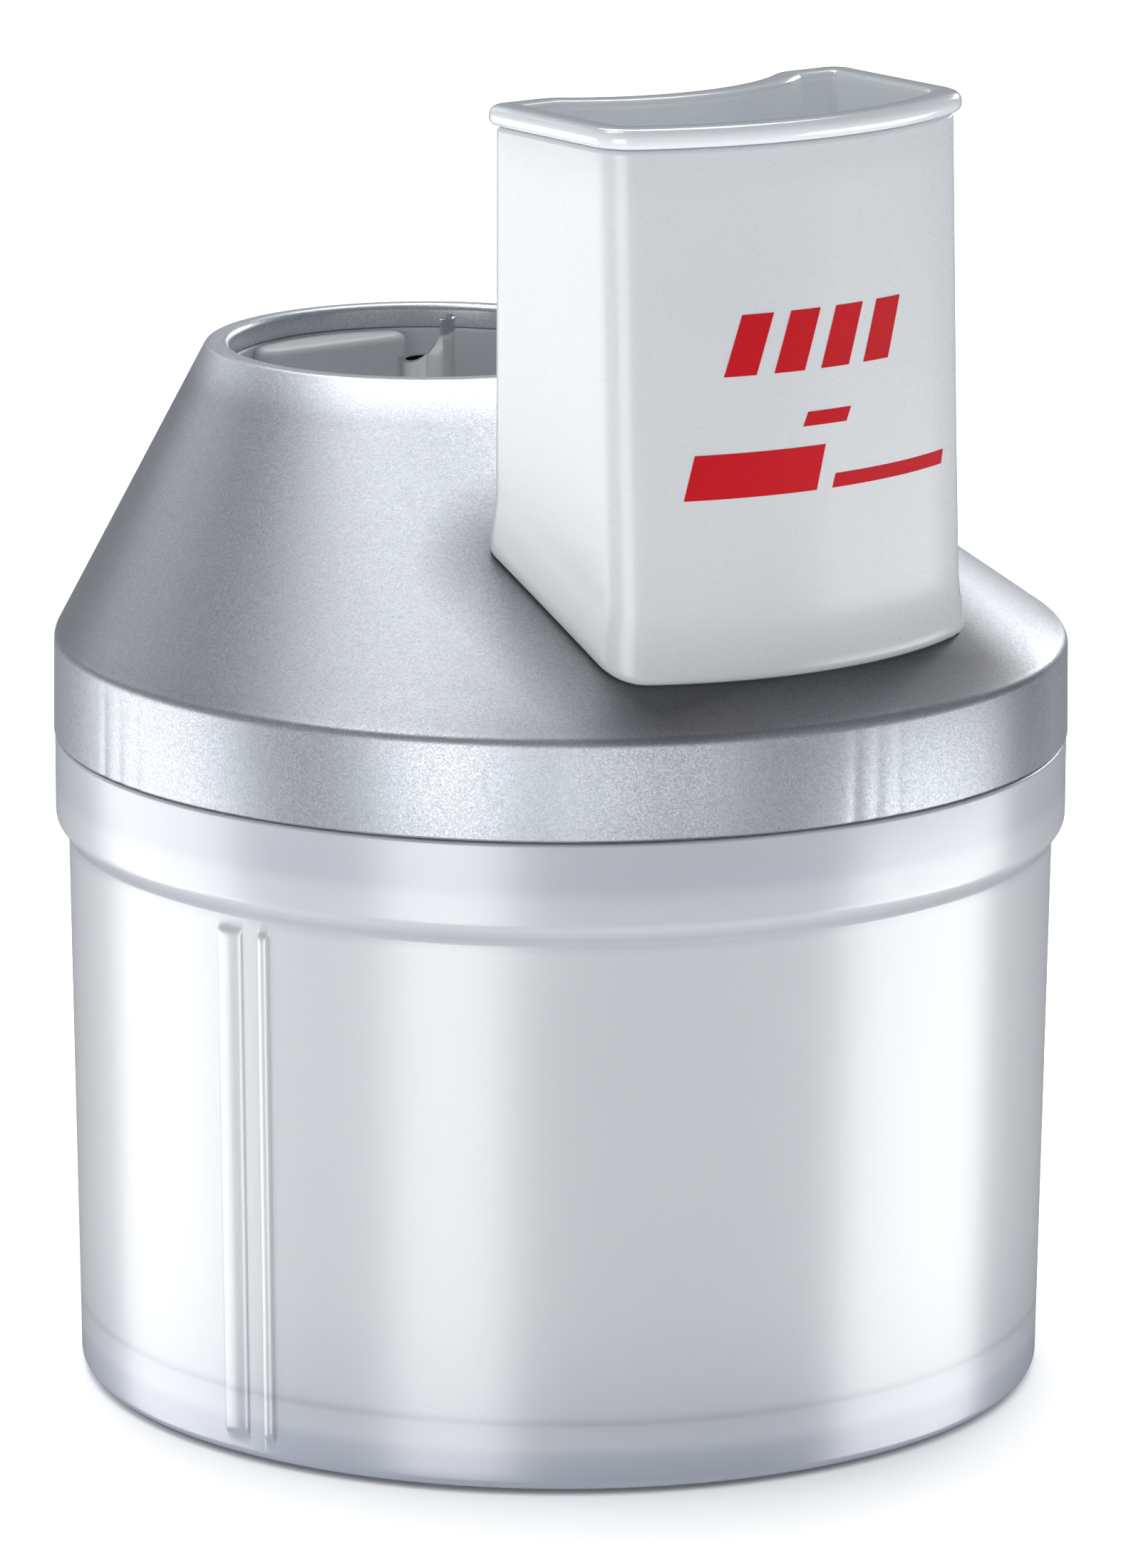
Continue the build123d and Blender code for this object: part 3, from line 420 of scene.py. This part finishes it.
def make_materials():
    """One material for each finish, by the record's slot name."""
    return {
        "frosted_bowl": frosted_bowl(),
        "silver_cover": silver_pearl(),
        "white_tube": plastic(
            "white_tube", (0.64, 0.655, 0.675), (0.67, 0.685, 0.705), (0.26, 0.38),
            1600.0, 0.12, Coat_Weight=0.6, Coat_Roughness=0.22, Coat_IOR=1.6,
        ),
        # Painted light: the pusher's faint emission makes it glow, though it is no lamp
        "milky_pusher": plastic(
            "milky_pusher", (0.74, 0.77, 0.80), (0.78, 0.805, 0.83), (0.12, 0.2), relief=0.03,
            Transmission_Weight=0.2, Coat_Weight=1.0, Coat_Roughness=0.08, Coat_IOR=1.6,
            Emission_Color=(0.92, 0.96, 1.0, 1.0), Emission_Strength=0.1,
        ),
        "socket_plastic": plastic(
            "socket_plastic", (0.66, 0.67, 0.69), (0.70, 0.71, 0.73), (0.32, 0.45),
        ),
        "nylon_gear": plastic("nylon_gear", (0.80, 0.77, 0.68), (0.86, 0.84, 0.76), (0.38, 0.5)),
        "steel": metal("steel", grey(0.46), grey(0.62), (0.24, 0.38), 240.0, (1, 1, 0.06)),
        "polished_steel": metal(
            "polished_steel", grey(0.70), grey(0.80), (0.06, 0.14), 300.0, (1, 1, 0.1),
        ),
        "bronze": metal("bronze", (0.42, 0.27, 0.13), (0.58, 0.39, 0.21), (0.34, 0.5), 700.0),
        "grey_rubber": plastic(
            "grey_rubber", (0.20, 0.21, 0.23), (0.24, 0.25, 0.27), (0.6, 0.75), 1500.0, 0.15,
        ),
        "silicone": plastic(
            "silicone", (0.66, 0.67, 0.70), (0.72, 0.73, 0.76), (0.45, 0.6), 1200.0, 0.08,
        ),
        "red_print": plastic(
            "red_print", (0.50, 0.002, 0.008), (0.58, 0.006, 0.014), (0.5, 0.65), 1800.0, 0.05,
            Specular_IOR_Level=0.15,
        ),
    }


# ---------------------------------------------------------------- bowl

def rib_height(angle, height):
    """How far the ribs stand out of the wall there, in millimetres."""
    proud = 0.0
    if not RIB_LOW < height < RIB_HIGH:
        return proud
    fade = min(1.0, (height - RIB_LOW) / RIB_FADE, (RIB_HIGH - height) / RIB_FADE)
    for middle, half_width, rise in RIBS:
        away = radians(abs(angle - middle)) * RIB_RADIUS / half_width
        if away < 1:
            proud = max(proud, rise * fade * (1 - away ** 2) ** 0.5)
    return proud


def bowl_angles():
    """Angles round the bowl, closer together over the ribs."""
    half_turn = round(180 / BOWL_STEP)
    angles = [step * BOWL_STEP for step in range(-half_turn, half_turn)]
    low = RIBS[0][0] - RIB_MARGIN
    high = RIBS[-1][0] + RIB_MARGIN
    angles = [angle for angle in angles if not low < angle < high]
    count = int((high - low) / RIB_STEP)
    return sorted(angles + [low + step * RIB_STEP for step in range(1, count)])


def with_rib_levels(outline):
    """The bowl's outline with added points on its long outer run, where the ribs need them."""
    (foot_radius, foot_height), (head_radius, head_height) = WALL_FOOT, WALL_HEAD
    lean = (head_radius - foot_radius) / (head_height - foot_height)
    long_run = (head_height - foot_height) / 2
    dense = []
    for index, point in enumerate(outline):
        after = outline[(index + 1) % len(outline)]
        dense.append(point)
        if min(point[0], after[0]) > WALL_LEAST_RADIUS and after[1] - point[1] > long_run:
            dense += [(foot_radius + lean * (level - foot_height), level) for level in RIB_LEVELS]
    return dense


def make_bowl(material):
    """Bowl turned from its outline, with the two ribs raised on the outer wall."""
    angles = bowl_angles()
    rows = []
    for radius, height in with_rib_levels(rounded(BOWL_OUTLINE)):
        row = []
        for angle in angles:
            reach = radius + (rib_height(angle, height) if radius > WALL_LEAST_RADIUS else 0)
            row.append((reach * cos(radians(angle)), reach * sin(radians(angle)), height))
        rows.append(row)
    mesh = mesh_from("bowl_shell", *lattice(rows))
    piece = link("bowl_shell", mesh, material)
    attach(piece, "bowl")
    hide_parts("bowl")
    return piece


# ---------------------------------------------------------------- lid

def cone_height(x, y):
    """Height of the lid's slanted cone above a point of the plan."""
    rise = COLLAR_TOP - SKIRT_TOP
    shrink = CONE_RADIUS - COLLAR_RADIUS
    square = COLLAR_OFFSET ** 2 - shrink ** 2
    linear = 2 * (CONE_RADIUS * shrink - COLLAR_OFFSET * y)
    rest = x * x + y * y - CONE_RADIUS ** 2
    share = (-linear + sqrt(linear ** 2 - 4 * square * rest)) / (2 * square)
    return SKIRT_TOP + rise * share


def cover_rings():
    """Closed section of the cover: centre offset, radius, height, corner round."""
    return [
        (0, SKIRT_RADIUS, SKIRT_BOTTOM, 0.4), (0, CONE_RADIUS, SKIRT_TOP, 2.0),
        (COLLAR_OFFSET, COLLAR_RADIUS, COLLAR_TOP, 1.5),
        (COLLAR_OFFSET, COLLAR_BORE, COLLAR_TOP, 1.3),
        (COLLAR_OFFSET, COLLAR_BORE, SOCKET_TOP, 0.2),
        (COLLAR_OFFSET, SOCKET_SEAT, SOCKET_TOP, 0.0),
        (0, SKIRT_INSIDE - 0.4, SKIRT_TOP - 1.2, 0.0), (0, SKIRT_INSIDE, SKIRT_BOTTOM, 0.4),
    ]


def sink(angle, height):
    """Depth of the shallow marks that the bayonet lugs leave in the skirt, fading upwards."""
    fade = max(0.0, (SKIRT_TOP - height) / (SKIRT_TOP - SKIRT_BOTTOM))
    return sum(SINK_DEPTH * fade * exp(-((angle - mark) / SINK_WIDTH) ** 2) for mark in SINK_MARKS)


def cover_angles():
    """Angles round the cover, closer together over the sink marks."""
    def spread(start, end, step):
        return [start + count * step for count in range(round((end - start) / step))]

    even = spread(-180.0, -96.0, 1.0) + spread(-84.0, 170.0, 1.0)
    fine = spread(-96.0, -84.0, 0.25) + spread(170.0, 180.0, 0.25)
    return sorted(even + fine)


def make_cover(material):
    """Silver cover with round edges and the opening for the feed tube."""
    rings = cover_rings()
    columns = []
    for degrees in cover_angles():
        angle = radians(degrees)
        spots = []
        for index, (centre, radius, height, _) in enumerate(rings):
            if index == 0:
                radius -= sink(degrees, height)
            spots.append((radius * cos(angle), centre + radius * sin(angle), height))
        column = []
        for index, spot in enumerate(spots):
            before = spots[index - 1]
            after = spots[(index + 1) % len(spots)]
            column += corner_arc(before, spot, after, rings[index][3], 6)
            if index in (1, 5):
                gap = Vector(after) - Vector(spot)
                column += [tuple(Vector(spot) + gap * (part / 12)) for part in range(1, 12)]
        columns.append(column)
    rows = [list(row) for row in zip(*columns)]
    mesh = mesh_from("lid_cover_shell", *lattice(rows))
    piece = link("lid_cover_shell", mesh, material)
    cutter = tube_cutter()
    trim = piece.modifiers.new("tube_opening", "BOOLEAN")
    trim.operation = "DIFFERENCE"
    trim.solver = "EXACT"
    trim.object = cutter
    apply_modifiers(piece)
    bpy.data.objects.remove(cutter)
    piece.data.set_sharp_from_angle(angle=radians(40))
    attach(piece, "lid")
    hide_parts("lid_cover")
    return piece


def apply_modifiers(piece):
    """Bakes the modifiers of a piece into its mesh."""
    graph = bpy.context.evaluated_depsgraph_get()
    mesh = bpy.data.meshes.new_from_object(piece.evaluated_get(graph))
    piece.modifiers.clear()
    old = piece.data
    piece.data = mesh
    bpy.data.meshes.remove(old)


# ---------------------------------------------------------------- feed tube and pusher

def arc_points(centre, radius, start, end, steps):
    """Points of a plan arc, angles in radians."""
    return [
        (centre[0] + radius * cos(start + (end - start) * step / steps),
         centre[1] + radius * sin(start + (end - start) * step / steps))
        for step in range(steps + 1)
    ]


def tube_outline(front, inset):
    """Kidney plan of the tube as a fixed number of points, moved inwards by inset."""
    half = HALF_WIDTH - inset
    back = -(BACK_WALL + inset)
    front = front - inset
    notch = NOTCH_RADIUS + inset
    front_round = FRONT_CORNER - inset
    back_round = max(BACK_CORNER - inset, 0.8)
    notch_round = NOTCH_CORNER - inset
    # front corner: round tangent to the side wall and inside the front arc
    corner_x = half - front_round
    corner_y = -sqrt((front - front_round) ** 2 - corner_x ** 2)
    touch = atan2(corner_y, corner_x)
    # notch corner: round tangent to the back wall and outside the notch arc
    edge_y = back - notch_round
    edge_x = sqrt((notch + notch_round) ** 2 - (edge_y - NOTCH_CENTRE) ** 2)
    meet = atan2(edge_y - NOTCH_CENTRE, edge_x)
    right = arc_points((0, 0), front, -pi / 2, touch, 24)
    right += arc_points((corner_x, corner_y), front_round, touch, 0, 12)[1:]
    side_top = back - back_round
    right += [(half, corner_y + (side_top - corner_y) * step / 6) for step in range(1, 6)]
    right += arc_points((half - back_round, back - back_round), back_round, 0, pi / 2, 8)
    right += arc_points((edge_x, edge_y), notch_round, pi / 2, meet + pi, 8)
    right += arc_points((0, NOTCH_CENTRE), notch, meet, -pi / 2, 14)[1:]
    left = [(-x, y) for x, y in reversed(right[1:-1])]
    return right + left


def outline_row(front, inset, height):
    """A level loop of the tube's plan."""
    return [(x, y, height) for x, y in tube_outline(front, inset)]


def front_at(height):
    """Front wall's radius at a height: it leans out towards the bottom."""
    share = (height - TUBE_BOTTOM) / (TUBE_TOP - TUBE_BOTTOM)
    return FRONT_BOTTOM + (FRONT_TOP - FRONT_BOTTOM) * share


def tube_cutter():
    """Solid of the tube's plan, a little larger, for the opening in the cover."""
    rows = [outline_row(front_at(height), -OPENING_GAP, height) for height in (100.0, 180.0)]
    points, faces = lattice(rows, closed_rows=False)
    count = len(rows[0])
    faces.append(tuple(range(count)))
    faces.append(tuple(range(2 * count - 1, count - 1, -1)))
    cutter = bpy.data.objects.new("tube_cutter", mesh_from("tube_cutter", points, faces))
    bpy.context.scene.collection.objects.link(cutter)
    return cutter


def make_tube(material):
    """Feed tube: leaning front wall, bead that follows the cone, round lip, hollow inside."""
    rows = [outline_row(FRONT_BOTTOM, 0, TUBE_BOTTOM)]
    front = front_at(BEAD_FRONT_HEIGHT)
    for out, up in TUBE_BEAD:
        pairs = zip(tube_outline(front, -out), tube_outline(front, 0))
        rows.append([(x, y, cone_height(*base) + up) for (x, y), base in pairs])
    levels = [TUBE_PLAIN_FROM + step * 6 for step in range(8)]
    rows += [outline_row(front_at(height), 0, height) for height in levels]
    lip = corner_arc((0, 200), (0, TUBE_TOP), (TUBE_WALL, TUBE_TOP), 0.7, 5)
    lip += corner_arc((0, TUBE_TOP), (TUBE_WALL, TUBE_TOP), (TUBE_WALL, 200), 0.7, 5)
    rows += [outline_row(front_at(height), inset, height) for inset, height in lip]
    rows.append(outline_row(FRONT_BOTTOM, TUBE_WALL, TUBE_BOTTOM))
    mesh = mesh_from("feed_tube_shell", *lattice(rows))
    piece = link("feed_tube_shell", mesh, material)
    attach(piece, "lid")
    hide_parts("feed_tube")
    return piece


def make_pusher(material):
    """Hollow pusher: plain cup with a rounded, overhanging flange."""
    floor_inset = CAVITY_INSET + PUSHER_FLOOR_INSET
    floor_top = PUSHER_BOTTOM + PUSHER_FLOOR
    # inset, height, corner round
    section = [
        (floor_inset, PUSHER_BOTTOM, 0), (PUSHER_INSET, PUSHER_BOTTOM, 1.2),
        (PUSHER_INSET, FLANGE_BOTTOM, 0.3), (FLANGE_INSET, FLANGE_BOTTOM, 1.3),
        (FLANGE_INSET, TOTAL_HEIGHT, 1.7), (CAVITY_INSET, TOTAL_HEIGHT, 1.0),
        (CAVITY_INSET, floor_top, 1.0), (floor_inset, floor_top, 0),
    ]
    profile = []
    for index in range(1, len(section) - 1):
        before, here, after = section[index - 1:index + 2]
        profile += corner_arc(before[:2], here[:2], after[:2], here[2], 6)
    rows = [outline_row(FRONT_TOP, inset, height) for inset, height in profile]
    points, faces = lattice(rows, closed_rows=False)
    count = len(rows[0])
    for start, height in ((0, PUSHER_BOTTOM), (len(points) - count, floor_top)):
        middle = len(points)
        points.append((*PUSHER_MIDDLE, height))
        for column in range(count):
            faces.append((start + column, start + (column + 1) % count, middle))
    piece = link("pusher_cup", mesh_from("pusher_cup", points, faces), material)
    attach(piece, "pusher")
    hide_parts("pusher")
    return piece


# ---------------------------------------------------------------- printed marks

def printed_bar(name, start, end, low, high, slant, material):
    """Thin raised bar on the tube's front wall: start and end are degrees, slant shifts its top."""
    across = 16
    up = 4
    rows = []
    for lift in PRINT_LAYERS:
        for row in range(up + 1):
            height = low + (high - low) * row / up
            shift = slant * row / up
            reach = front_at(height) + lift
            row_points = []
            for step in range(across + 1):
                angle = radians(start + shift + (end - start) * step / across)
                row_points.append((reach * cos(angle), reach * sin(angle), height))
            rows.append(row_points)
    points = [point for row in rows for point in row]
    count = across + 1
    faces = []
    for layer in (0, up + 1):
        for row in range(up):
            for column in range(across):
                corner = (layer + row) * count + column
                faces.append((corner, corner + 1, corner + count + 1, corner + count))
    top = (up + 1) * count
    edge = list(range(count)) + [row * count + across for row in range(1, up + 1)]
    edge += [up * count + column for column in range(across - 1, -1, -1)]
    edge += [row * count for row in range(up - 1, 0, -1)]
    for index, spot in enumerate(edge):
        after = edge[(index + 1) % len(edge)]
        faces.append((spot, after, after + top, spot + top))
    piece = link(name, mesh_from(name, points, faces), material)
    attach(piece, "lid")


def make_print(material):
    """Plain red marks: four slices above, a short bar, a thick and a thin bar below."""
    for index in range(SLICE_COUNT):
        start = SLICE_START + index * SLICE_PITCH
        name = f"print_slice_{index + 1}"
        printed_bar(name, start, start + SLICE_WIDTH, *SLICE_SHAPE, material)
    for name, shape in PRINT_BARS.items():
        printed_bar(name, *shape, material)


# ---------------------------------------------------------------- stage, light, camera

def make_floor():
    """Plain pale floor under and far behind the object."""
    bpy.ops.mesh.primitive_plane_add(size=14, location=(0, 0, 0))
    floor = bpy.context.object
    floor.name = "floor"
    material, tree, shader = new_material("floor")
    pale = ramp(tree, noise(tree, 3.0), grey(0.90), grey(0.93))
    tree.links.new(pale, shader.inputs["Base Color"])
    shader.inputs["Roughness"].default_value = 0.6
    floor.data.materials.append(material)
    floor.visible_glossy = False
    floor.visible_shadow = False
    return floor


def light_only(name, piece):
    """Lets a light reach one piece alone."""
    receivers = bpy.data.collections.new(name + "_receivers")
    receivers.objects.link(piece)
    bpy.data.objects[name].light_linking.receiver_collection = receivers


def wash_floor(floor, power):
    """High light that whitens the floor alone."""
    area_light("floor_wash", Vector((0, 0, 3.0)), Vector((0, 0, 0)), 10.0, 10.0, power)
    light_only("floor_wash", floor)


def make_world(strength):
    """Even pale surroundings."""
    world = bpy.data.worlds.new("studio")
    world.use_nodes = True
    background = world.node_tree.nodes["Background"]
    background.inputs["Color"].default_value = (0.88, 0.93, 1.0, 1)
    background.inputs["Strength"].default_value = strength
    bpy.context.scene.world = world


def direction(azimuth, elevation):
    """Unit vector; azimuth is measured from the camera, positive to its right, in degrees."""
    turn = radians(azimuth - CAMERA_HEADING - 90)
    level = cos(radians(elevation))
    return Vector((cos(turn) * level, sin(turn) * level, sin(radians(elevation))))


def area_light(name, place, target, width, height, power):
    """Rectangular light at a place, facing a target."""
    light = bpy.data.lights.new(name, "AREA")
    light.shape = "RECTANGLE"
    light.size = width
    light.size_y = height
    light.energy = power
    lamp = bpy.data.objects.new(name, light)
    lamp.location = place
    lamp.rotation_euler = (target - place).to_track_quat("-Z", "Y").to_euler()
    bpy.context.scene.collection.objects.link(lamp)


def overhead(name, azimuth, elevation, distance, width, height, power):
    """Hanging softbox aimed at the middle of the object."""
    target = Vector((0, 0, 0.1))
    place = target + direction(azimuth, elevation) * distance
    area_light(name, place, target, width, height, power)


def standing(name, azimuth, distance, width, bottom, top, power):
    """Upright softbox facing the object's axis, hung low so that the upright walls mirror it."""
    target = Vector((0, 0, (bottom + top) / 2))
    place = target + direction(azimuth, 0) * distance
    area_light(name, place, target, width, top - bottom, power)


def make_camera():
    """Long-lens camera at the photograph's angle."""
    heading = radians(CAMERA_HEADING)
    ahead = Vector((sin(heading), cos(heading), 0))
    place = -ahead * CAMERA_DISTANCE + Vector((0, 0, CAMERA_HEIGHT))
    look = ahead * cos(radians(CAMERA_PITCH)) - Vector((0, 0, sin(radians(CAMERA_PITCH))))
    data = bpy.data.cameras.new("camera")
    data.sensor_fit = "VERTICAL"
    data.sensor_height = 36
    data.lens = CAMERA_LENS
    data.clip_end = 50
    camera = bpy.data.objects.new("camera", data)
    aim = look.to_track_quat("-Z", "Y").to_matrix().to_4x4()
    roll = Matrix.Rotation(radians(CAMERA_ROLL), 4, "Z")
    camera.matrix_world = Matrix.Translation(place) @ (aim @ roll)
    bpy.context.scene.collection.objects.link(camera)
    bpy.context.scene.camera = camera


make_camera()
wash_floor(make_floor(), 400)
make_world(0.20)
# azimuth, elevation, distance, width, height, watts
overhead("overhead_left", -96, 71, 2.4, 0.9, 0.9, 10.5)
overhead("overhead_back", 180, 58, 2.4, 1.4, 1.1, 21)
overhead("low_back_right", 148, 19, 2.6, 1.0, 0.5, 13)
overhead("low_back_left", -140, 28, 2.6, 1.4, 1.0, 4)
# azimuth, distance, width, bottom, top, watts
standing("left_side", -100, 1.5, 1.3, -0.9, 0.15, 10)
standing("front_left", -25, 2.0, 1.0, -0.9, 0.5, 12.5)
standing("right_side", 92, 1.5, 1.35, -0.9, -0.1, 9.5)
bpy.context.scene.view_settings.view_transform = "Standard"

finish = make_materials()
slots = {part["node"]: part["material_slot"] for part in frame["record"]["subparts"]}
for node, piece in frame["nodes"].items():
    piece.data.materials.clear()
    piece.data.materials.append(finish[slots[node]])

make_bowl(finish["frosted_bowl"])
cover = make_cover(finish["silver_cover"])
standing("skirt_card", 20, 2.0, 1.2, -0.9, 0.3, 11)
light_only("skirt_card", cover)
make_tube(finish["white_tube"])
make_pusher(finish["milky_pusher"])
make_print(finish["red_print"])

bpy.context.view_layer.update()
